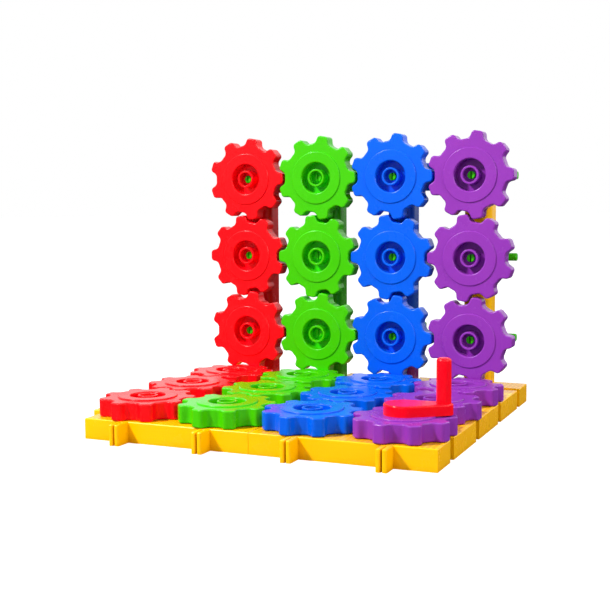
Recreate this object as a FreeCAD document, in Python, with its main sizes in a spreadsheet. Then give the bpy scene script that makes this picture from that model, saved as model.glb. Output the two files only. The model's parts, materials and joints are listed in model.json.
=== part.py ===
"""Crank-driven gear building set: a gear-covered base with a wall of gears standing behind it.

Millimetres, +Z up.  Columns of gears run along X, rows along Y, and the wall stands at the
back.  The origin is the centre of the whole model's footprint, on the floor.
"""
import FreeCAD, Part
import math
import os
import Sketcher

Vector = FreeCAD.Vector
Rotation = FreeCAD.Rotation
Placement = FreeCAD.Placement
X_AXIS, Y_AXIS, Z_AXIS = Vector(1, 0, 0), Vector(0, 1, 0), Vector(0, 0, 1)

SIZES = {
    "grid_pitch": 72.0,
    # base plates
    "plate_gap": 0.3,
    "plate_height": 16.5,
    "plate_skin": 2.5,
    "plate_rib": 2.0,
    "plate_edge_round": 1.0,
    "tab_width": 8.6,
    "tab_length": 14.2,
    "tab_slit": 0.9,
    "tab_clearance": 0.3,
    # pegs that gears turn on, and their bearing
    "peg_radius": 3.45,
    "peg_slit": 1.3,
    "peg_nose": 0.8,
    "post_height": 12.5,
    "bearing_clearance": 0.06,
    "bearing_length": 6.5,
    # gears
    "gear_seat_gap": 0.3,
    "gear_rim_height": 13.8,
    "gear_boss_rise": 1.0,
    "gear_boss_radius": 23.9,
    "gear_root_radius": 31.5,
    "gear_tip_radius": 38.2,
    "tooth_foot_width": 12.6,
    "tooth_tip_width": 9.4,
    "tooth_tip_round": 3.2,
    "tooth_foot_round": 4.8,
    "gear_edge_round": 1.2,
    "gear_wall": 2.5,
    "recess_lip_round": 1.2,
    "tube_lip_round": 0.5,
    "recess_radius": 14.0,
    "recess_floor": 3.2,
    "tube_radius": 8.0,
    "tube_mouth_radius": 6.15,
    # frame of the wall
    "wall_first_axis": 47.0,
    "axle_square": 20.0,
    "axle_edge_round": 1.5,
    "axle_side_reach": 19.5,
    "axle_front_reach": 24.0,
    "axle_spigot_reach": 24.8,
    "peg_reach": 33.5,
    "pillar_square": 25.0,
    "pillar_corner_round": 7.0,
    "pillar_bore_clearance": 0.15,
    "pillar_end_gap": 0.2,
    "pillar_end_round": 0.8,
    "foot_web": 3.0,
    # crank
    "crank_hub_radius": 15.0,
    "crank_thickness": 8.0,
    "crank_throw": 28.5,
    "crank_handle_radius": 5.4,
    "crank_handle_height": 33.0,
    "crank_edge_round": 1.2,
    "crank_plug_clearance": 0.1,
    "crank_plug_depth": 5.0,
}

TEETH = 9
COLUMNS = 4
FLAT_ROWS = 3
WALL_ROWS = 3
POSTS_PER_SIDE = 2
CELLS_PER_PITCH = 3
CRANK_ANGLE = 20.0

GEAR_COLOURS = ("red", "green", "blue", "purple")
ROW_NAMES = ("front", "middle", "back")
LEVEL_NAMES = ("low", "mid", "top")

doc = FreeCAD.newDocument("gear_wall")
sheet = doc.addObject("Spreadsheet::Sheet", "sizes")
for number, (alias, value) in enumerate(SIZES.items(), start=1):
    sheet.set("A%d" % number, str(value))
    sheet.setAlias("A%d" % number, alias)
doc.recompute()


def size(alias):
    """The value that a cell of the sheet holds."""
    return float(sheet.get(alias))


PITCH = size("grid_pitch")
BASE_HALF = COLUMNS * PITCH / 2
BASE_EDGE = BASE_HALF - size("plate_gap") / 2
TOOTH_STEP = 360.0 / TEETH
GEAR_THICKNESS = size("gear_rim_height") + size("gear_boss_rise")

# The footprint reaches past the plates by the tabs on the left and front, and by a tooth
# on the right, so the base's centre lies off the footprint's centre.
RIGHT_REACH = max(BASE_EDGE, (COLUMNS - 1) * PITCH / 2 + size("gear_tip_radius"))
CENTRE_X = (BASE_EDGE + size("tab_length") - RIGHT_REACH) / 2
CENTRE_Y = size("tab_length") / 2


def column_x(column):
    return CENTRE_X + (column - (COLUMNS - 1) / 2) * PITCH


def row_y(row):
    return CENTRE_Y + (row - (COLUMNS - 1) / 2) * PITCH


def level_z(level):
    return size("plate_height") + size("wall_first_axis") + level * PITCH


WALL_Y = row_y(FLAT_ROWS)


# ---------------------------------------------------------------- modelling helpers

def new_body(label):
    body = doc.addObject("PartDesign::Body", label)
    body.Label = label
    return body


def bind(feature, **expressions):
    """Tie each property of a feature to an expression on the sheet's aliases."""
    for name, expression in expressions.items():
        feature.setExpression(name, expression)


def plane_of(body, role):
    return next(item for item in body.Origin.OriginFeatures if item.Role == role)


def new_sketch(body, name, height="0", plane="XY_Plane"):
    """A sketch on one of the body's planes, raised from it by an expression."""
    sketch = body.newObject("Sketcher::SketchObject", name)
    sketch.AttachmentSupport = (plane_of(body, plane), [""])
    sketch.MapMode = "FlatFace"
    sketch.setExpression("AttachmentOffset.Base.z", height)
    return sketch


def add_circle(sketch, expression, x=0.0, y=0.0):
    """A circle whose radius follows an expression."""
    index = sketch.addGeometry(Part.Circle(Vector(x, y, 0), Z_AXIS, 1.0))
    radius = sketch.addConstraint(Sketcher.Constraint("Radius", index, 1.0))
    sketch.setExpression("Constraints[%d]" % radius, expression)


def add_polygon(sketch, points):
    ends = points[1:] + points[:1]
    lines = [Part.LineSegment(Vector(*a, 0), Vector(*b, 0)) for a, b in zip(points, ends)]
    sketch.addGeometry(lines)


def add_rectangle(sketch, x_low, y_low, x_high, y_high):
    add_polygon(sketch, [(x_low, y_low), (x_high, y_low), (x_high, y_high), (x_low, y_high)])


def add_rounded_square(sketch, side, corner):
    """A square about the sketch's origin, with a quarter circle at each corner."""
    half = side / 2
    flat, bend = half - corner, half - corner * (1 - math.sqrt(0.5))
    for turn in range(4):
        quarter = Rotation(Z_AXIS, 90 * turn)
        right, middle, top, left = (quarter.multVec(Vector(x, y, 0)) for x, y in (
            (half, flat), (bend, bend), (flat, half), (-flat, half)))
        sketch.addGeometry(Part.Arc(right, middle, top))
        sketch.addGeometry(Part.LineSegment(top, left))


def pad(body, sketch, name, length, reverse=False):
    feature = body.newObject("PartDesign::Pad", name)
    feature.Profile = sketch
    feature.Reversed = reverse
    bind(feature, Length=length)
    return feature


def pocket(body, sketch, name, length, upwards):
    """Cut along +Z when upwards, along -Z otherwise."""
    feature = body.newObject("PartDesign::Pocket", name)
    feature.Profile = sketch
    feature.Reversed = upwards
    bind(feature, Length=length)
    return feature


def round_edges(body, name, radius, wanted):
    """Fillet the edges of the body's tip that a test on the edge picks."""
    doc.recompute()
    tip = body.Tip
    names = ["Edge%d" % (i + 1) for i, edge in enumerate(tip.Shape.Edges) if wanted(edge)]
    feature = body.newObject("PartDesign::Fillet", name)
    feature.Base = (tip, names)
    bind(feature, Radius=radius)
    return feature


def is_upright(edge):
    box = edge.BoundBox
    return box.ZLength > 1 and box.XLength < 0.01 and box.YLength < 0.01


def lies_at(edge, height):
    box = edge.BoundBox
    return abs(box.ZMin - height) < 0.01 and abs(box.ZMax - height) < 0.01


def reach_of(edge):
    """The largest distance from the Z axis of an edge's ends and middle."""
    middle = edge.valueAt((edge.FirstParameter + edge.LastParameter) / 2)
    points = [vertex.Point for vertex in edge.Vertexes] + [middle]
    return max(math.hypot(point.x, point.y) for point in points)


def box_feature(body, kind, name, corner, **lengths):
    """An additive or subtractive box with its lowest corner placed by three expressions."""
    feature = body.newObject("PartDesign::%sBox" % kind, name)
    feature.AttachmentSupport = (plane_of(body, "XY_Plane"), [""])
    feature.MapMode = "FlatFace"
    bind(feature, **lengths)
    for axis, expression in zip("xyz", corner):
        feature.setExpression("AttachmentOffset.Base." + axis, expression)
    return feature


def place_copy(label, master, position, rotation=Rotation()):
    """A body of its own that takes its solid from a master body."""
    body = new_body(label)
    body.BaseFeature = master
    doc.recompute()
    body.Placement = Placement(position, rotation)
    return body


# ---------------------------------------------------------------- base plate

def make_plate():
    """Hollow square plate: split tabs in front and on the left, slots at the back and right."""
    body = new_body("plate_master")
    gap = size("plate_gap")
    low, high = gap / 2, POSTS_PER_SIDE * PITCH - gap / 2
    lines = [(i + 0.5) * PITCH for i in range(POSTS_PER_SIDE)]
    half_tab = size("tab_width") / 2
    half_slot = half_tab + size("tab_clearance")
    tab_tip = low - size("tab_length")
    slot_end = high - size("tab_length") - size("tab_clearance")

    outline = new_sketch(body, "plate_outline")
    add_rectangle(outline, low, low, high, high)
    pad(body, outline, "plate_block", "sizes.plate_height")

    tabs = new_sketch(body, "tab_outlines")
    for line in lines:
        add_rectangle(tabs, line - half_tab, tab_tip, line + half_tab, low + gap)
        add_rectangle(tabs, tab_tip, line - half_tab, low + gap, line + half_tab)
    pad(body, tabs, "tabs", "sizes.plate_height")

    slots = new_sketch(body, "slot_outlines")
    for line in lines:
        add_rectangle(slots, line - half_slot, slot_end, line + half_slot, high + gap)
        add_rectangle(slots, slot_end, line - half_slot, high + gap, line + half_slot)
    pocket(body, slots, "slots", "sizes.plate_height", upwards=True)

    slits = new_sketch(body, "slit_outlines")
    half_slit = size("tab_slit") / 2
    slit_root = low - size("plate_rib")
    for line in lines:
        add_rectangle(slits, line - half_slit, tab_tip - gap, line + half_slit, slit_root)
        add_rectangle(slits, tab_tip - gap, line - half_slit, slit_root, line + half_slit)
    pocket(body, slits, "slits", "sizes.plate_height", upwards=True)

    round_edges(body, "tab_corners", "1.5 * sizes.plate_edge_round",
                lambda edge: is_upright(edge) and is_tab_corner(edge, tab_tip))
    round_edges(body, "plate_top_edges", "sizes.plate_edge_round",
                lambda edge: lies_at(edge, size("plate_height")))

    cells = new_sketch(body, "cell_outlines")
    step = PITCH / CELLS_PER_PITCH
    half_rib = size("plate_rib") / 2
    count = POSTS_PER_SIDE * CELLS_PER_PITCH
    middle = CELLS_PER_PITCH // 2
    for i in range(count):
        for j in range(count):
            beside_slot = (i == count - 1 and j % CELLS_PER_PITCH == middle) or (
                j == count - 1 and i % CELLS_PER_PITCH == middle)
            if beside_slot:
                continue
            add_rectangle(cells, max(i * step, low + half_rib) + half_rib,
                          max(j * step, low + half_rib) + half_rib,
                          min((i + 1) * step, high - half_rib) - half_rib,
                          min((j + 1) * step, high - half_rib) - half_rib)
    pocket(body, cells, "cells", "sizes.plate_height - sizes.plate_skin", upwards=True)

    posts = new_sketch(body, "post_circles", "sizes.plate_height - sizes.plate_skin")
    for x in lines:
        for y in lines:
            add_circle(posts, "sizes.peg_radius", x, y)
    pad(body, posts, "posts", "sizes.post_height + sizes.plate_skin")
    post_top = size("plate_height") + size("post_height")
    round_edges(body, "post_noses", "sizes.peg_nose", lambda edge: lies_at(edge, post_top))

    post_slits = new_sketch(body, "post_slit_outlines", "sizes.plate_height")
    half_slit = size("peg_slit") / 2
    half_length = 2 * size("peg_radius")
    for x in lines:
        for y in lines:
            add_rectangle(post_slits, x - half_slit, y - half_length, x + half_slit, y + half_length)
    pocket(body, post_slits, "post_slits", "sizes.post_height + 1", upwards=True)
    return body


def is_tab_corner(edge, tip):
    box = edge.BoundBox
    return abs(box.XMin - tip) < 0.01 or abs(box.YMin - tip) < 0.01


# ---------------------------------------------------------------- gear

def make_gear():
    """Gear with its axis on Z, its back face at z = 0 and one tooth pointing along +X."""
    body = new_body("gear_master")
    root = size("gear_root_radius")
    disc = new_sketch(body, "root_circle")
    add_circle(disc, "sizes.gear_root_radius")
    pad(body, disc, "rim", "sizes.gear_rim_height")

    tooth = new_sketch(body, "tooth_outline")
    tip = size("gear_tip_radius")
    half_foot, half_tip = size("tooth_foot_width") / 2, size("tooth_tip_width") / 2
    inside = root - size("gear_wall")
    half_inside = half_foot + (half_foot - half_tip) * (root - inside) / (tip - root)
    add_polygon(tooth, [(inside, -half_inside), (tip, -half_tip),
                        (tip, half_tip), (inside, half_inside)])
    tooth_pad = pad(body, tooth, "tooth", "sizes.gear_rim_height")
    doc.recompute()

    ring = body.newObject("PartDesign::PolarPattern", "tooth_ring")
    ring.Originals = [tooth_pad]
    ring.Axis = (plane_of(body, "Z_Axis"), [""])
    ring.Angle = 360
    ring.Occurrences = TEETH
    body.Tip = ring

    round_edges(body, "tooth_tips", "sizes.tooth_tip_round",
                lambda edge: is_upright(edge) and reach_of(edge) > tip)
    round_edges(body, "tooth_feet", "sizes.tooth_foot_round",
                lambda edge: is_upright(edge) and reach_of(edge) < root + 1)
    rim_top = size("gear_rim_height")
    round_edges(body, "rim_edges", "sizes.gear_edge_round",
                lambda edge: lies_at(edge, rim_top) or lies_at(edge, 0))

    boss = new_sketch(body, "boss_circle")
    add_circle(boss, "sizes.gear_boss_radius")
    pad(body, boss, "boss", "sizes.gear_rim_height + sizes.gear_boss_rise")
    round_edges(body, "boss_edge", "0.8 * sizes.gear_boss_rise",
                lambda edge: lies_at(edge, GEAR_THICKNESS))

    recess = new_sketch(body, "recess_circles", "sizes.recess_floor")
    add_circle(recess, "sizes.recess_radius")
    add_circle(recess, "sizes.tube_radius")
    pocket(body, recess, "recess", "sizes.gear_rim_height + sizes.gear_boss_rise", upwards=True)

    hollow = new_sketch(body, "hollow_circles")
    add_circle(hollow, "sizes.gear_root_radius - sizes.gear_wall")
    add_circle(hollow, "sizes.recess_radius + sizes.gear_wall")
    pocket(body, hollow, "hollow", "sizes.gear_rim_height - sizes.gear_wall", upwards=True)

    mouth = new_sketch(body, "mouth_circle", "sizes.bearing_length")
    add_circle(mouth, "sizes.tube_mouth_radius")
    pocket(body, mouth, "tube_mouth", "sizes.gear_rim_height + sizes.gear_boss_rise", upwards=True)

    bearing = new_sketch(body, "bearing_circle")
    add_circle(bearing, "sizes.peg_radius + sizes.bearing_clearance")
    pocket(body, bearing, "bearing", "sizes.bearing_length", upwards=True)
    tube = size("tube_radius")
    round_edges(body, "recess_lip", "sizes.recess_lip_round",
                lambda edge: lies_at(edge, GEAR_THICKNESS)
                and tube + 1 < reach_of(edge) < size("recess_radius") + 1)
    round_edges(body, "tube_lip", "sizes.tube_lip_round",
                lambda edge: lies_at(edge, GEAR_THICKNESS) and reach_of(edge) < tube + 1)
    return body


# ---------------------------------------------------------------- cross axle

def make_cross_axle():
    """Square cross: spigots up and down, three short arms and a longer front arm, four pegs."""
    body = new_body("cross_axle_master")
    side, front = size("axle_side_reach"), size("axle_front_reach")
    spigot, reach = size("axle_spigot_reach"), size("peg_reach")
    bars = (("spigots", "XY_Plane", "-sizes.axle_spigot_reach", "2 * sizes.axle_spigot_reach"),
            ("side_arms", "YZ_Plane", "-sizes.axle_side_reach", "2 * sizes.axle_side_reach"),
            ("front_and_back_arms", "XZ_Plane", "-sizes.axle_side_reach",
             "sizes.axle_side_reach + sizes.axle_front_reach"))
    for name, plane, start, length in bars:
        section = new_sketch(body, name + "_section", start, plane)
        add_rounded_square(section, size("axle_square"), size("axle_edge_round"))
        pad(body, section, name, length)
    round_edges(body, "arm_ends", "0.8 * sizes.axle_edge_round",
                lambda edge: ends_an_arm(edge, ((-side, side), (-front, side), (-spigot, spigot))))

    for name, plane in (("side_pegs", "YZ_Plane"), ("front_and_back_pegs", "XZ_Plane")):
        circle = new_sketch(body, name + "_circle", "-sizes.peg_reach", plane)
        add_circle(circle, "sizes.peg_radius")
        pad(body, circle, name, "2 * sizes.peg_reach")
    round_edges(body, "peg_noses", "sizes.peg_nose",
                lambda edge: ends_an_arm(edge, ((-reach, reach), (-reach, reach), ())))

    half_slit = size("peg_slit") / 2
    slits = new_sketch(body, "peg_slit_outlines", "-sizes.peg_radius")
    add_rectangle(slits, side, -half_slit, reach + 1, half_slit)
    add_rectangle(slits, -reach - 1, -half_slit, -side, half_slit)
    add_rectangle(slits, -half_slit, side, half_slit, reach + 1)
    add_rectangle(slits, -half_slit, -reach - 1, half_slit, -front)
    pocket(body, slits, "peg_slits", "2 * sizes.peg_radius", upwards=True)
    return body


def ends_an_arm(edge, reaches):
    """An edge that lies in a plane across X, Y or Z at one of that axis's reaches."""
    box = edge.BoundBox
    spans = ((box.XMin, box.XMax), (box.YMin, box.YMax), (box.ZMin, box.ZMax))
    return any(abs(low - reach) < 0.01 and abs(high - reach) < 0.01
               for (low, high), ends in zip(spans, reaches) for reach in ends)


# ---------------------------------------------------------------- pillars and top bars

def make_tube(name, length, web=False):
    """Rounded square tube standing on z = 0, with a bored web near its foot if asked."""
    body = new_body(name)
    half = "sizes.pillar_square / 2"
    box_feature(body, "Additive", name + "_block", ("-" + half, "-" + half, "0"),
                Length="sizes.pillar_square", Width="sizes.pillar_square", Height=length)
    round_edges(body, name + "_corners", "sizes.pillar_corner_round", is_upright)
    doc.recompute()
    top = body.Tip.Shape.BoundBox.ZMax
    round_edges(body, name + "_ends", "sizes.pillar_end_round",
                lambda edge: lies_at(edge, 0) or lies_at(edge, top))
    inner = "(sizes.axle_square / 2 + sizes.pillar_bore_clearance)"
    floor = "sizes.foot_web" if web else "0"
    box_feature(body, "Subtractive", name + "_bore", ("-" + inner, "-" + inner, floor),
                Length="2 * " + inner, Width="2 * " + inner, Height=length)
    if web:
        hole = new_sketch(body, name + "_hole_circle")
        add_circle(hole, "sizes.peg_radius + sizes.bearing_clearance")
        pocket(body, hole, name + "_hole", "sizes.foot_web", upwards=True)
    return body


# ---------------------------------------------------------------- crank

def make_crank():
    """Round hub with an arm and an upright handle; its underside is at z = 0."""
    body = new_body("crank")
    throw, hub = size("crank_throw"), size("crank_hub_radius")
    eye = size("crank_handle_radius") + 1.5
    hub_sketch = new_sketch(body, "hub_circle")
    add_circle(hub_sketch, "sizes.crank_hub_radius")
    pad(body, hub_sketch, "hub", "sizes.crank_thickness")

    arm = new_sketch(body, "arm_outline")
    lean = math.asin((hub - eye) / throw)
    side = Vector(math.sin(lean), math.cos(lean), 0)
    near, far = hub * side, Vector(throw, 0, 0) + eye * side
    arm.addGeometry([
        Part.LineSegment(near, far),
        Part.Arc(far, Vector(throw + eye, 0, 0), Vector(far.x, -far.y, 0)),
        Part.LineSegment(Vector(far.x, -far.y, 0), Vector(near.x, -near.y, 0)),
        Part.LineSegment(Vector(near.x, -near.y, 0), near)])
    pad(body, arm, "arm", "sizes.crank_thickness")
    thickness = size("crank_thickness")
    round_edges(body, "arm_edges", "sizes.crank_edge_round", lambda edge: lies_at(edge, thickness))

    handle = new_sketch(body, "handle_circle")
    add_circle(handle, "sizes.crank_handle_radius", throw)
    pad(body, handle, "handle", "sizes.crank_thickness + sizes.crank_handle_height")
    top = thickness + size("crank_handle_height")
    round_edges(body, "handle_end", "2 * sizes.crank_edge_round", lambda edge: lies_at(edge, top))

    plug = new_sketch(body, "plug_circle")
    add_circle(plug, "sizes.tube_mouth_radius - sizes.crank_plug_clearance")
    pad(body, plug, "plug", "sizes.crank_plug_depth", reverse=True)
    socket = new_sketch(body, "socket_circle", "-sizes.crank_plug_depth")
    add_circle(socket, "sizes.peg_radius + 2 * sizes.crank_plug_clearance")
    pocket(body, socket, "socket", "sizes.crank_plug_depth", upwards=True)
    return body


# ---------------------------------------------------------------- assembly

pieces = []


def keep(body):
    pieces.append(body)
    return body


plate_master = make_plate()
for row_name, y in (("front", CENTRE_Y - BASE_HALF), ("back", CENTRE_Y)):
    for side_name, x in (("left", CENTRE_X - BASE_HALF), ("right", CENTRE_X)):
        keep(place_copy("base_plate_%s_%s" % (row_name, side_name), plate_master, Vector(x, y, 0)))

# Every second row of flat gears, and every second level of wall gears, is turned by half a
# tooth step, so that each gear meshes with its neighbours on all sides.
gear_master = make_gear()
gear_seat = size("plate_height") + size("gear_seat_gap")
for column, colour in enumerate(GEAR_COLOURS):
    for row, row_name in enumerate(ROW_NAMES):
        turn = Rotation(Z_AXIS, TOOTH_STEP / 2 * ((row + 1) % 2))
        keep(place_copy("flat_gear_%s_%s" % (colour, row_name), gear_master,
                        Vector(column_x(column), row_y(row), gear_seat), turn))
wall_gear_back = WALL_Y - size("axle_front_reach") - size("gear_seat_gap")
FACE_FRONT = Rotation(X_AXIS, 90)
for column, colour in enumerate(GEAR_COLOURS):
    for level, level_name in enumerate(LEVEL_NAMES):
        turn = Rotation(Z_AXIS, TOOTH_STEP / 2 * (level % 2))
        keep(place_copy("wall_gear_%s_%s" % (colour, level_name), gear_master,
                        Vector(column_x(column), wall_gear_back, level_z(level)),
                        FACE_FRONT.multiply(turn)))

axle_master = make_cross_axle()
GAP = "sizes.pillar_end_gap"
FOOT_LENGTH = "sizes.wall_first_axis - sizes.axle_square / 2 - 2 * " + GAP
SPAN_LENGTH = "sizes.grid_pitch - sizes.axle_square - 2 * " + GAP
BAR_LENGTH = "sizes.grid_pitch - sizes.pillar_square - 2 * " + GAP
foot_master = make_tube("pillar_foot_master", FOOT_LENGTH, web=True)
span_master = make_tube("pillar_span_master", SPAN_LENGTH)
bar_master = make_tube("top_bar_master", BAR_LENGTH)
above_axle = size("axle_square") / 2 + size("pillar_end_gap")
for column in range(COLUMNS):
    for level, level_name in enumerate(LEVEL_NAMES):
        centre = Vector(column_x(column), WALL_Y, level_z(level))
        keep(place_copy("cross_axle_%d_%s" % (column + 1, level_name), axle_master, centre))
        if level:
            master, bottom = span_master, level_z(level - 1) + above_axle
        else:
            master, bottom = foot_master, size("plate_height") + size("pillar_end_gap")
        keep(place_copy("pillar_%d_%s" % (column + 1, level_name), master,
                        Vector(centre.x, centre.y, bottom)))
beside_pillar = size("pillar_square") / 2 + size("pillar_end_gap")
for column in range(COLUMNS - 1):
    start = Vector(column_x(column) + beside_pillar, WALL_Y, level_z(WALL_ROWS - 1))
    keep(place_copy("top_bar_%d_%d" % (column + 1, column + 2), bar_master, start,
                    Rotation(Y_AXIS, 90)))

crank = keep(make_crank())
doc.recompute()
crank.Placement = Placement(
    Vector(column_x(COLUMNS - 1), row_y(0), gear_seat + GEAR_THICKNESS), Rotation(Z_AXIS, CRANK_ANGLE))
doc.recompute()

failed = [item.Name for item in doc.Objects if {"Invalid", "Error"} & set(item.State)]
if failed:
    raise RuntimeError("these objects failed: " + ", ".join(failed))
os.makedirs("parts", exist_ok=True)
for piece in pieces:
    shape = piece.Shape
    if shape.isNull() or not shape.isValid() or len(shape.Solids) != 1:
        raise RuntimeError(piece.Label + " is not one valid solid")
    shape.exportStep("parts/%s.step" % piece.Label)
print("wrote %d parts" % len(pieces))
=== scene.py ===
"""Looks of a crank-driven gear building set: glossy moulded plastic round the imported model.

Metres, +Z up.  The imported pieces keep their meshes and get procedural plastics.  The marks
that moulding leaves on each gear (a gate nub and three ejector rings on the recess floor)
are added as pieces that ride with the gears.
"""
import json
import math

import bpy
import numpy as np
from mathutils import Matrix, Vector


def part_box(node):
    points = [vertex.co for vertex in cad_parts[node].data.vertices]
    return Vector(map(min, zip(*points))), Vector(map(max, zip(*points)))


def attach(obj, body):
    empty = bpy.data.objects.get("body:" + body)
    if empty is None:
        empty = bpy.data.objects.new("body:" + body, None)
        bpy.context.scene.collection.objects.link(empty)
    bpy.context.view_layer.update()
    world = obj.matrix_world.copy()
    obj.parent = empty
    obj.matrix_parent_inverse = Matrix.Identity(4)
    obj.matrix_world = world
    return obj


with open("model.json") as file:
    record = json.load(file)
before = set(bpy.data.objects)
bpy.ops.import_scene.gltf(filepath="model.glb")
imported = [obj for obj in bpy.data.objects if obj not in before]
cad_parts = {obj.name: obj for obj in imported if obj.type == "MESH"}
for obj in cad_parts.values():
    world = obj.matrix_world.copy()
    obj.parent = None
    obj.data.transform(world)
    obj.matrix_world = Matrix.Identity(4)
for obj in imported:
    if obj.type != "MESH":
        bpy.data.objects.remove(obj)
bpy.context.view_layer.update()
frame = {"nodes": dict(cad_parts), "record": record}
nodes = frame["nodes"]

MM = 0.001
GEAR_SEAT_GAP = 0.3 * MM
MIDDLE_ROWS = 1.5  # pitches from the front row of gears to the base's centre

# Camera: angles in degrees, lens and sensor in millimetres, place in pitches from BASE_CENTRE.
CAMERA_YAW, CAMERA_PITCH, CAMERA_ROLL = 23.775, 5.256, -0.4056
CAMERA_LENS, CAMERA_SENSOR = 61.73, 36
CAMERA_PLACE = (4.7733, -11.3491, 2.4915)

# Lights: azimuth and elevation in degrees, distance and side in metres, power in watts.
LIGHTS = {
    "key": (-42, 44, 1.5, 0.16, 30),
    "front": (12, 25, 1.7, 0.9, 3.5),
    "right": (75, 30, 1.6, 0.8, 13),
    "back": (155, 50, 1.7, 0.9, 9),
}
FLOOR_RADIUS = 30.0
SKY_FOR_LIGHT, SKY_FOR_GLOSS = 0.38, 1.1


# ---------------------------------------------------------------- places, from the frame

plate_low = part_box("base_plate_front_right")[0]
PITCH = (plate_low.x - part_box("base_plate_front_left")[0].x) / 2
PLATE_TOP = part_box("flat_gear_red_front")[0].z - GEAR_SEAT_GAP
BASE_CENTRE = (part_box("flat_gear_red_front")[0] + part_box("flat_gear_purple_front")[1]) / 2
BASE_CENTRE = Vector((BASE_CENTRE.x, BASE_CENTRE.y + MIDDLE_ROWS * PITCH, 0))


# ---------------------------------------------------------------- camera

def place_camera():
    """A long-lens camera to the right of the model, a little above the wall's middle."""
    yaw, pitch, roll = (
        math.radians(angle) for angle in (CAMERA_YAW, CAMERA_PITCH, CAMERA_ROLL))
    forward = Vector((-math.sin(yaw) * math.cos(pitch), math.cos(yaw) * math.cos(pitch),
                      -math.sin(pitch)))
    level = Vector((math.cos(yaw), math.sin(yaw), 0))
    upright = level.cross(forward)
    right = level * math.cos(roll) + upright * math.sin(roll)
    up = upright * math.cos(roll) - level * math.sin(roll)
    data = bpy.data.cameras.new("camera")
    data.sensor_width = CAMERA_SENSOR
    data.lens = CAMERA_LENS
    camera = bpy.data.objects.new("camera", data)
    bpy.context.scene.collection.objects.link(camera)
    turn = Matrix((right, up, -forward)).transposed().to_4x4()
    place = BASE_CENTRE + PITCH * Vector(CAMERA_PLACE)
    camera.matrix_world = Matrix.Translation(place) @ turn
    bpy.context.scene.camera = camera


# ---------------------------------------------------------------- node helpers

def linear(red, green, blue):
    """A display colour, each part from 0 to 1, as linear light."""
    return tuple(c / 12.92 if c <= 0.04045 else ((c + 0.055) / 1.055) ** 2.4
                 for c in (red, green, blue)) + (1.0,)


def new_group(name, inputs, outputs):
    """An empty shader node group; inputs are (name, kind, default) and outputs (name, kind)."""
    group = bpy.data.node_groups.new(name, "ShaderNodeTree")
    for label, kind, default in inputs:
        socket = group.interface.new_socket(label, in_out="INPUT", socket_type="NodeSocket" + kind)
        socket.default_value = default
    for label, kind in outputs:
        group.interface.new_socket(label, in_out="OUTPUT", socket_type="NodeSocket" + kind)
    return group, group.nodes.new("NodeGroupInput"), group.nodes.new("NodeGroupOutput")


def wire(tree, value, socket):
    """Link a socket to another, or set its value when it is given a number or a tuple."""
    if isinstance(value, bpy.types.NodeSocket):
        tree.links.new(value, socket)
    else:
        socket.default_value = value


def calc(tree, operation, *values):
    node = tree.nodes.new("ShaderNodeMath")
    node.operation = operation
    for value, socket in zip(values, node.inputs):
        wire(tree, value, socket)
    return node.outputs[0]


def noise(tree, place, scale, detail=2.0, roughness=0.5):
    node = tree.nodes.new("ShaderNodeTexNoise")
    wire(tree, place, node.inputs["Vector"])
    wire(tree, scale, node.inputs["Scale"])
    node.inputs["Detail"].default_value = detail
    node.inputs["Roughness"].default_value = roughness
    return node.outputs["Fac"]


def spread(tree, value, low, high, to_low=0.0, to_high=1.0):
    """Value from low to high, mapped smoothly on to_low to to_high."""
    node = tree.nodes.new("ShaderNodeMapRange")
    node.interpolation_type = "SMOOTHSTEP"
    for given, name in ((value, "Value"), (low, "From Min"), (high, "From Max"),
                        (to_low, "To Min"), (to_high, "To Max")):
        wire(tree, given, node.inputs[name])
    return node.outputs["Result"]


def mix(tree, share, first, second):
    node = tree.nodes.new("ShaderNodeMix")
    node.data_type = "RGBA"
    wire(tree, share, node.inputs[0])
    wire(tree, first, node.inputs[6])
    wire(tree, second, node.inputs[7])
    return node.outputs[2]


def stretched(tree, place, scale, turn):
    node = tree.nodes.new("ShaderNodeMapping")
    wire(tree, place, node.inputs["Vector"])
    node.inputs["Scale"].default_value = scale
    node.inputs["Rotation"].default_value = turn
    return node.outputs["Vector"]


# ---------------------------------------------------------------- shared effects

def make_flow_group():
    """Slow colour drift of poured plastic, as broad soft clouds of the deeper colour."""
    group, given, made = new_group(
        "flow_marks", (("Colour", "Color", (1, 1, 1, 1)), ("Deep Colour", "Color", (0, 0, 0, 1)),
                       ("Amount", "Float", 0.5)), (("Colour", "Color"),))
    place = group.nodes.new("ShaderNodeTexCoord").outputs["Object"]
    clouds = spread(group, noise(group, place, 22.0, 3.0), 0.3, 0.75)
    share = calc(group, "MULTIPLY", clouds, given.outputs["Amount"])
    colour = mix(group, share, given.outputs["Colour"], given.outputs["Deep Colour"])
    group.links.new(colour, made.inputs["Colour"])
    return group


def make_occlusion_shade_group():
    """Mask for painted shade, from ambient occlusion: 1 deep inside a recess, a bore or a narrow
    gap, 0 on open faces.
    """
    group, given, made = new_group(
        "occlusion_shade", (("Reach", "Float", 0.012), ("Amount", "Float", 1.0)), (("Depth", "Float"),))
    open_sky = group.nodes.new("ShaderNodeAmbientOcclusion")
    open_sky.samples = 6
    group.links.new(given.outputs["Reach"], open_sky.inputs["Distance"])
    shut = spread(group, open_sky.outputs["AO"], 0.15, 0.75, 1.0, 0.0)
    group.links.new(calc(group, "MULTIPLY", shut, given.outputs["Amount"]), made.inputs["Depth"])
    return group


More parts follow.
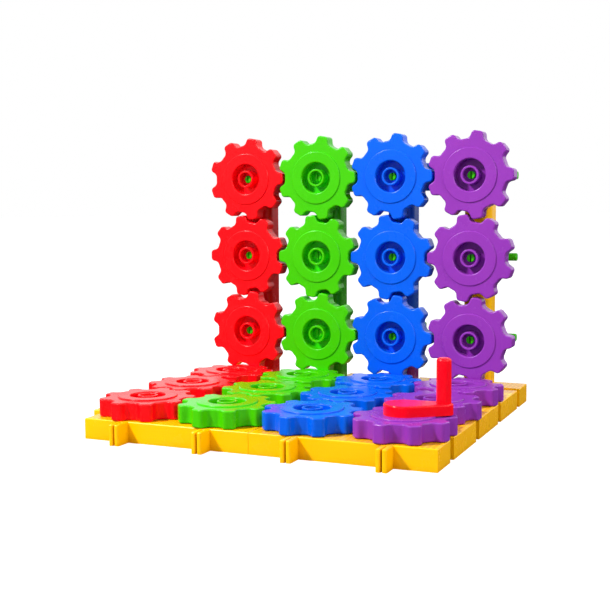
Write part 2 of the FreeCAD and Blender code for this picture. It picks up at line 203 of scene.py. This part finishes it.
def make_handling_group():
    """Traces of handling: soft smudges and hairline scratches that change gloss, not colour."""
    group, given, made = new_group(
        "handling", (("Gloss", "Float", 0.2), ("Smudge", "Float", 0.1), ("Scratch", "Float", 0.1)),
        (("Roughness", "Float"), ("Scratches", "Float")))
    place = group.nodes.new("ShaderNodeTexCoord").outputs["Object"]
    smudge = spread(group, noise(group, place, 55.0, 4.0, 0.6), 0.48, 0.72)
    lines = []
    for turn in ((0.4, 0.9, 0.2), (1.3, 0.1, 2.1)):
        long_grain = noise(group, stretched(group, place, (1500, 1500, 26), turn), 1.0, 0.0)
        lines.append(spread(group, long_grain, 0.76, 0.8))
    patches = spread(group, noise(group, place, 38.0, 2.0), 0.5, 0.62)
    scratches = calc(group, "MULTIPLY", calc(group, "MAXIMUM", *lines), patches)
    rough = calc(group, "MULTIPLY_ADD", smudge, given.outputs["Smudge"], given.outputs["Gloss"])
    rough = calc(group, "MULTIPLY_ADD", scratches, given.outputs["Scratch"], rough)
    group.links.new(rough, made.inputs["Roughness"])
    group.links.new(scratches, made.inputs["Scratches"])
    return group


def make_skin_group():
    """Fine orange peel of a polished mould, as a height in millimetres."""
    group, given, made = new_group(
        "mould_skin", (("Grain", "Float", 700.0), ("Depth", "Float", 0.02)),
        (("Height", "Float"),))
    place = group.nodes.new("ShaderNodeTexCoord").outputs["Object"]
    fine = noise(group, place, given.outputs["Grain"], 2.0)
    waves = noise(group, place, 95.0, 1.0)
    height = calc(group, "MULTIPLY_ADD", waves, 2.5, fine)
    height = calc(group, "MULTIPLY", height, given.outputs["Depth"])
    group.links.new(height, made.inputs["Height"])
    return group


def make_waffle_group():
    """Grid of small square dimples on upward faces at one height; 1 in a dimple, 0 elsewhere."""
    group, given, made = new_group(
        "waffle", (("Step", "Float", 0.003), ("Level", "Float", 0.0)), (("Dimples", "Float"),))
    place = group.nodes.new("ShaderNodeTexCoord").outputs["Object"]
    apart = group.nodes.new("ShaderNodeSeparateXYZ")
    group.links.new(place, apart.inputs[0])
    sides = []
    for axis in ("X", "Y"):
        cell = calc(group, "FRACT", calc(group, "DIVIDE", apart.outputs[axis],
                                         given.outputs["Step"]))
        off = calc(group, "ABSOLUTE", calc(group, "SUBTRACT", cell, 0.5))
        sides.append(spread(group, off, 0.22, 0.34, 1.0, 0.0))
    inside = calc(group, "MULTIPLY", *sides)
    gap = calc(group, "ABSOLUTE", calc(group, "SUBTRACT", apart.outputs["Z"],
                                       given.outputs["Level"]))
    on_top = calc(group, "LESS_THAN", gap, 0.00015)
    group.links.new(calc(group, "MULTIPLY", inside, on_top), made.inputs["Dimples"])
    return group


FLOW, HANDLING, OCCLUSION_SHADE = make_flow_group(), make_handling_group(), make_occlusion_shade_group()
SKIN, WAFFLE = make_skin_group(), make_waffle_group()


# ---------------------------------------------------------------- materials

def use_group(tree, group, **values):
    node = tree.nodes.new("ShaderNodeGroup")
    node.node_tree = group
    for name, value in values.items():
        wire(tree, value, node.inputs[name.replace("_", " ")])
    return node


def moulded_plastic(name, colour, thick, painted_hollow_shading, gloss=0.24, waffle=False):
    """Glossy moulded plastic: thick is its colour where it is thickest; the third colour is
    painted shading, laid into its recesses, gaps and plate dimples for the light and shade that
    falls there.
    """
    material = bpy.data.materials.new(name)
    material.use_nodes = True
    tree = material.node_tree
    tree.nodes.clear()
    out = tree.nodes.new("ShaderNodeOutputMaterial")
    shader = tree.nodes.new("ShaderNodeBsdfPrincipled")
    tree.links.new(shader.outputs[0], out.inputs["Surface"])
    flow = use_group(tree, FLOW, Colour=colour, Deep_Colour=thick, Amount=0.3)
    handling = use_group(tree, HANDLING, Gloss=gloss, Smudge=0.08, Scratch=0.05)
    skin = use_group(tree, SKIN, Grain=720.0, Depth=0.9)
    surface, height = flow.outputs["Colour"], skin.outputs["Height"]
    height = calc(tree, "MULTIPLY_ADD", handling.outputs["Scratches"], -0.1, height)
    if waffle:
        dimples = use_group(tree, WAFFLE, Step=PITCH / 18, Level=PLATE_TOP).outputs["Dimples"]
        # Painted shade: each dimple is tinted towards the painted recess colour; the height change
        # below is its real dip.
        surface = mix(tree, calc(tree, "MULTIPLY", dimples, 0.6), surface, painted_hollow_shading)
        height = calc(tree, "MULTIPLY_ADD", dimples, -14.0, height)
    # Painted shading: the occlusion mask turns recesses, bores and narrow gaps towards the painted
    # recess colour.
    painted_shade_share = use_group(tree, OCCLUSION_SHADE, Reach=8 * MM, Amount=0.75).outputs["Depth"]
    surface = mix(tree, painted_shade_share, surface, painted_hollow_shading)
    bump = tree.nodes.new("ShaderNodeBump")
    bump.inputs["Strength"].default_value = 0.5
    bump.inputs["Distance"].default_value = 0.01 * MM
    tree.links.new(height, bump.inputs["Height"])
    tree.links.new(surface, shader.inputs["Base Color"])
    tree.links.new(handling.outputs["Roughness"], shader.inputs["Roughness"])
    tree.links.new(bump.outputs["Normal"], shader.inputs["Normal"])
    shader.inputs["IOR"].default_value = 1.46
    shader.inputs["Specular IOR Level"].default_value = 0.22
    shader.inputs["Subsurface Weight"].default_value = 0.06
    shader.inputs["Subsurface Radius"].default_value = (1.0, 0.6, 0.4)
    shader.inputs["Subsurface Scale"].default_value = 1.2 * MM
    return material


# Each plastic: plain colour, deeper cloud colour, and painted recess shading (darker for yellow
# and crank red, brighter and more saturated for the gear colours).
PLASTICS = {
    "yellow_plastic": moulded_plastic(
        "yellow_plastic", linear(0.98, 0.73, 0.0), linear(0.96, 0.66, 0.0),
        linear(0.80, 0.50, 0.0), waffle=True),
    "red_plastic": moulded_plastic(
        "red_plastic", linear(0.92, 0.03, 0.07), linear(0.88, 0.0, 0.05),
        linear(1.0, 0.02, 0.14)),
    "green_plastic": moulded_plastic(
        "green_plastic", linear(0.25, 0.72, 0.0), linear(0.17, 0.66, 0.0),
        linear(0.07, 0.90, 0.03)),
    "blue_plastic": moulded_plastic(
        "blue_plastic", linear(0.0, 0.35, 0.84), linear(0.0, 0.28, 0.78),
        linear(0.01, 0.27, 0.92)),
    "purple_plastic": moulded_plastic(
        "purple_plastic", linear(0.53, 0.20, 0.64), linear(0.45, 0.13, 0.56),
        linear(0.55, 0.08, 0.66)),
    "crank_red_plastic": moulded_plastic(
        "crank_red_plastic", linear(0.96, 0.0, 0.10), linear(0.90, 0.0, 0.08),
        linear(0.80, 0.0, 0.06), gloss=0.2),
}


def dress_nodes():
    for part in frame["record"]["subparts"]:
        mesh = nodes[part["node"]].data
        mesh.materials.clear()
        mesh.materials.append(PLASTICS[part["material_slot"]])


# ---------------------------------------------------------------- moulding marks

RECESS_FLOOR, MARK_CIRCLE = 3.2 * MM, 11.2 * MM
GATE_PROFILE = ((0.0, 0.55), (0.45, 0.50), (0.6, 0.18), (1.3, 0.14), (1.5, -0.2), (0.0, -0.2))
EJECTOR_PROFILE = ((0.0, 0.03), (1.2, 0.03), (1.35, 0.14), (1.55, 0.14), (1.7, -0.2), (0.0, -0.2))


def turned_surface(profile, steps=24):
    """Closed surface of revolution on Z: each (radius, height) of the profile, in
    millimetres, is carried round to radius * cos(turn), radius * sin(turn), height."""
    radius, height = np.array(profile).T * MM
    ring = np.linspace(0, 2 * np.pi, steps, endpoint=False)
    rows = np.stack((np.outer(radius[1:-1], np.cos(ring)), np.outer(radius[1:-1], np.sin(ring)),
                     np.repeat(height[1:-1, None], steps, axis=1)), axis=2)
    points = np.vstack(((0, 0, height[0]), rows.reshape(-1, 3), (0, 0, height[-1])))
    first = np.arange(steps) + 1
    after = np.roll(first, -1)
    faces = [(0, int(a), int(b)) for a, b in zip(first, after)]
    for row in range(len(profile) - 3):
        shift = row * steps
        faces += [(int(a + shift), int(a + shift + steps), int(b + shift + steps), int(b + shift))
                  for a, b in zip(first, after)]
    last, shift = len(points) - 1, (len(profile) - 3) * steps
    faces += [(last, int(b + shift), int(a + shift)) for a, b in zip(first, after)]
    return points, faces


def join_surfaces(surfaces):
    """One list of points and faces from several."""
    points, faces, count = [], [], 0
    for own_points, own_faces in surfaces:
        points.append(own_points)
        faces += [tuple(index + count for index in face) for face in own_faces]
        count += len(own_points)
    return np.vstack(points), faces


def make_moulding_marks():
    """A gate nub and three ejector rings on each gear's recess floor, a quarter turn apart."""
    marks = []
    for quarter, profile in enumerate((GATE_PROFILE,) + (EJECTOR_PROFILE,) * 3):
        turn = math.radians(45 + 90 * quarter)
        points, faces = turned_surface(profile)
        marks.append((points + (MARK_CIRCLE * math.cos(turn), MARK_CIRCLE * math.sin(turn),
                                RECESS_FLOOR), faces))
    points, faces = join_surfaces(marks)
    slots = {part["node"]: part["material_slot"] for part in frame["record"]["subparts"]}
    members = frame["record"]["behaviour"]["bodies"]
    for joint in frame["record"]["behaviour"]["joints"]:
        gear = members[joint["child"]][0]
        low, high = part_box(gear)
        axis = np.array(joint["pos_m"])
        if joint["axis"][2]:
            placed = points + (axis[0], axis[1], low.z)
        else:
            placed = points[:, (0, 2, 1)] * (1, -1, 1) + (axis[0], high.y, axis[2])
        mesh = bpy.data.meshes.new("moulding_marks_" + gear)
        mesh.from_pydata(placed.tolist(), [], faces)
        mesh.materials.append(PLASTICS[slots[gear]])
        piece = bpy.data.objects.new(mesh.name, mesh)
        bpy.context.scene.collection.objects.link(piece)
        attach(piece, joint["child"])


# ---------------------------------------------------------------- stage and lights

def make_floor():
    """A flat round floor, wide enough to fill every view down to the horizon."""
    turn = np.linspace(0, 2 * np.pi, 64, endpoint=False)
    rim = np.column_stack((np.cos(turn), np.sin(turn), np.zeros(64))) * FLOOR_RADIUS
    mesh = bpy.data.meshes.new("floor")
    mesh.from_pydata(rim.tolist(), [], [list(range(64))])
    floor = bpy.data.objects.new("floor", mesh)
    bpy.context.scene.collection.objects.link(floor)
    material = bpy.data.materials.new("pale_floor")
    material.use_nodes = True
    tree = material.node_tree
    shader = tree.nodes["Principled BSDF"]
    shader.inputs["Roughness"].default_value = 0.9
    shader.inputs["Specular IOR Level"].default_value = 0.1
    shader.inputs["Emission Color"].default_value = (1, 1, 1, 1)
    path = tree.nodes.new("ShaderNodeLightPath").outputs
    wire(tree, mix(tree, path["Is Glossy Ray"], (0.32, 0.32, 0.32, 1), (0.03, 0.03, 0.03, 1)),
         shader.inputs["Base Color"])
    wire(tree, spread(tree, path["Is Camera Ray"], 0.0, 1.0, 0.0, 0.85),
         shader.inputs["Emission Strength"])
    mesh.materials.append(material)


def make_light(name, azimuth, elevation, distance, side, power):
    """Square soft light; azimuth 0 is in front of the model, 90 to its right."""
    data = bpy.data.lights.new(name, "AREA")
    data.shape = "SQUARE"
    data.size = side
    data.energy = power
    light = bpy.data.objects.new(name, data)
    bpy.context.scene.collection.objects.link(light)
    a, e = math.radians(azimuth), math.radians(elevation)
    away = Vector((math.sin(a) * math.cos(e), -math.cos(a) * math.cos(e), math.sin(e)))
    light.matrix_world = (Matrix.Translation(BASE_CENTRE + away * distance)
                          @ away.to_track_quat("Z", "Y").to_matrix().to_4x4())


def light_studio():
    """White surroundings that the camera sees brighter than the model does, and soft lights."""
    world = bpy.data.worlds.new("studio")
    world.use_nodes = True
    tree = world.node_tree
    sky = tree.nodes["Background"]
    path = tree.nodes.new("ShaderNodeLightPath").outputs
    lit = spread(tree, path["Is Glossy Ray"], 0.0, 1.0, SKY_FOR_LIGHT, SKY_FOR_GLOSS)
    wire(tree, calc(tree, "MAXIMUM", lit, path["Is Camera Ray"]), sky.inputs["Strength"])
    sky.inputs["Color"].default_value = (1, 1, 1, 1)
    bpy.context.scene.world = world
    for name, values in LIGHTS.items():
        make_light(name, *values)
    bpy.context.scene.view_settings.view_transform = "Standard"


place_camera()
dress_nodes()
make_moulding_marks()
make_floor()
light_studio()
